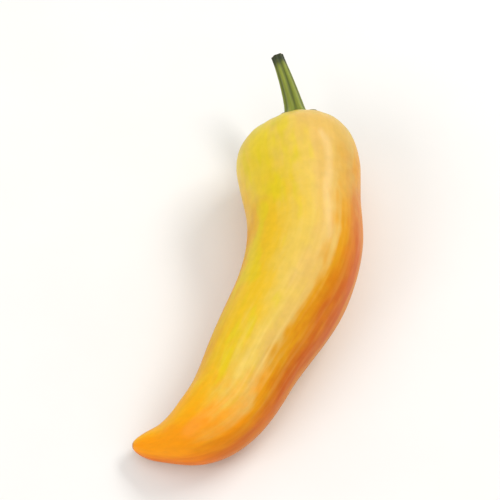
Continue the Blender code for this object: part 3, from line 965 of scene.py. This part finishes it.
shader.inputs["IOR"].default_value = 1.43
shader.inputs["Specular IOR Level"].default_value = 0.08
shader.inputs["Coat Weight"].default_value = 0.3
shader.inputs["Coat Roughness"].default_value = 0.22
shader.inputs["Coat IOR"].default_value = 1.4
shader.inputs["Subsurface Weight"].default_value = 0.25
shader.inputs["Subsurface Radius"].default_value = (1.0, 0.65, 0.15)
shader.inputs["Subsurface Scale"].default_value = 1.5 * MM
rubbed = add(tree, "ShaderNodeTexNoise", {"Vector": real, "Scale": 1 / RUB_SIZE, "Detail": 4.0})
rubbed = {"Value": rubbed, "From Min": 0.3, "From Max": 0.7, "To Min": 0.45, "To Max": 0.55}
tree.links.new(add(tree, RANGE, rubbed).outputs[0], shader.inputs["Roughness"])
grain = add(tree, "ShaderNodeTexNoise", {"Vector": real, "Scale": 1 / GRAIN, "Detail": 2.0})
bump = add(tree, "ShaderNodeBump", {"Strength": 0.25, "Distance": GRAIN_DEPTH, "Height": grain})
tree.links.new(bump.outputs[0], shader.inputs["Normal"])
print(f"roughness {rubbed['To Min']} to {rubbed['To Max']}")

# %% [markdown]
# ## The stem's colours
#
# A fresh stem is satin green, paler on the crests of its ribs and darker between them. The same cosine
# that raised the ribs gives the colour, so the two lie on each other. Fibres break it up.

# %% Ribs and fibres
CREST = srgb("#8E983A")
OLIVE = srgb("#757F2A")
FURROW = srgb("#566020")
COLOUR_PACE = 1.5 * MM  # a unit of climb in the colours' pattern

tree = green_stem.node_tree
shader = tree.nodes["Principled BSDF"]
on_stem = add(tree, "ShaderNodeAttribute", attribute_name="on_stem").outputs["Vector"]
split = add(tree, "ShaderNodeSeparateXYZ", (on_stem,))
climb = split.outputs["Z"]
angle = add(tree, MATH, (split.outputs["X"], split.outputs["Y"]), operation="ARCTAN2")
wave = add(tree, MATH, (angle, RIB_TURN), operation="SUBTRACT")
wave = add(tree, MATH, (wave, float(RIBS)), operation="MULTIPLY")
wave = add(tree, MATH, (wave,), operation="COSINE")
real = (STEM_BASE_RADIUS * MM, STEM_BASE_RADIUS * MM, COLOUR_PACE)
real = add(tree, VECTOR_MATH, (on_stem, real), operation="MULTIPLY")
fibres = add(tree, "ShaderNodeTexNoise", {"Vector": real, "Scale": 1 / FIBRE_SPACING, "Detail": 3.0})
height = add(tree, MATH, (wave, 0.3, fibres), operation="MULTIPLY_ADD")
height = add(tree, RANGE, {"Value": height, "From Min": 0.1, "From Max": 0.9})
stops = ((0.0, FURROW), (0.45, OLIVE), (1.0, CREST))
colour = add(tree, "ShaderNodeValToRGB", (height,), stops=stops)
print(f"{green_stem.name}: {len(tree.nodes)} nodes")

# %% [markdown]
# The calyx is darker than the stem, and its thin rim dries brown first. Where the stem was cut it has dried
# almost black round a pale, fibrous pith. The climb that every point keeps says where each of them begins,
# and noise makes the edges ragged.

# %% Calyx, dry rim and cut
DRY_RIM = srgb("#6A6230")
CUT_SKIN = srgb("#2B331B")
PITH = srgb("#A89F68")
DRY_PATCH = 1.8 * MM

darker = {"Value": climb, "From Min": 0.35, "From Max": 1.1, "To Min": 0.6, "To Max": 0.0}
darker = add(tree, RANGE, darker, interpolation_type="SMOOTHSTEP")
colour = add(tree, MIX, {"Factor": darker, "A": colour, "B": FURROW}, data_type="RGBA")
spot = add(tree, "ShaderNodeTexCoord").outputs["Object"]
patches = add(tree, "ShaderNodeTexNoise", {"Vector": spot, "Scale": 1 / DRY_PATCH, "Detail": 4.0})
edge = add(tree, MATH, (patches, 0.3, climb), operation="MULTIPLY_ADD")
edge = {"Value": edge, "From Min": 0.16, "From Max": 0.34, "To Min": 0.9, "To Max": 0.0}
edge = add(tree, RANGE, edge, interpolation_type="SMOOTHSTEP")
colour = add(tree, MIX, {"Factor": edge, "A": colour, "B": DRY_RIM}, data_type="RGBA")
end = add(tree, MATH, (patches, 0.12, climb), operation="MULTIPLY_ADD")
end = {"Value": end, "From Min": 1.84, "From Max": 2.02, "To Max": 0.95}
end = add(tree, RANGE, end, interpolation_type="SMOOTHSTEP")
colour = add(tree, MIX, {"Factor": end, "A": colour, "B": CUT_SKIN}, data_type="RGBA")
pith = {"Value": climb, "From Min": 2.35, "From Max": 2.6}
pith = add(tree, RANGE, pith, interpolation_type="SMOOTHSTEP")
pith = add(tree, MATH, (pith, fibres), operation="MULTIPLY")
colour = add(tree, MIX, {"Factor": pith, "A": colour, "B": PITH}, data_type="RGBA")
tree.links.new(colour.outputs[2], shader.inputs["Base Color"])
print(f"{green_stem.name}: {len(tree.nodes)} nodes")

# %% [markdown]
# The skin of a stem has no coat of wax to speak of. It is satin, rougher where fibres show, and lets only a
# little light in. A fine bump keeps its gloss from looking moulded.

# %% Satin
STEM_GRAIN, STEM_GRAIN_DEPTH = 0.25 * MM, 0.03 * MM  # a stem's cells are finer, and wouldn't show at all
GLOW = 0.8 * MM  # how far light goes in

satin = {"Value": fibres, "From Min": 0.3, "From Max": 0.7, "To Min": 0.42, "To Max": 0.6}
tree.links.new(add(tree, RANGE, satin).outputs[0], shader.inputs["Roughness"])
shader.inputs["Specular IOR Level"].default_value = 0.3
shader.inputs["Subsurface Weight"].default_value = 0.1
shader.inputs["Subsurface Scale"].default_value = GLOW
grain = add(tree, "ShaderNodeTexNoise", {"Vector": real, "Scale": 1 / STEM_GRAIN, "Detail": 2.0})
bump = add(tree, "ShaderNodeBump", {"Strength": 0.4, "Distance": STEM_GRAIN_DEPTH, "Height": grain})
tree.links.new(bump.outputs[0], shader.inputs["Normal"])
print(f"roughness {satin['To Min']} to {satin['To Max']}")

# %% [markdown]
# ## Back to the frame
#
# Nothing on a pepper moves, so both pieces ride on its one body. Each takes the place of its plain solid.

# %% The pieces and the frame
for piece, node, slot in ((pod, "pod", "pod_skin"), (stem, "stem_and_calyx", "stem")):
    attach(piece, "root")
    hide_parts(node)
    print(f"{piece.name} stands for {node}, in the slot {slot}")
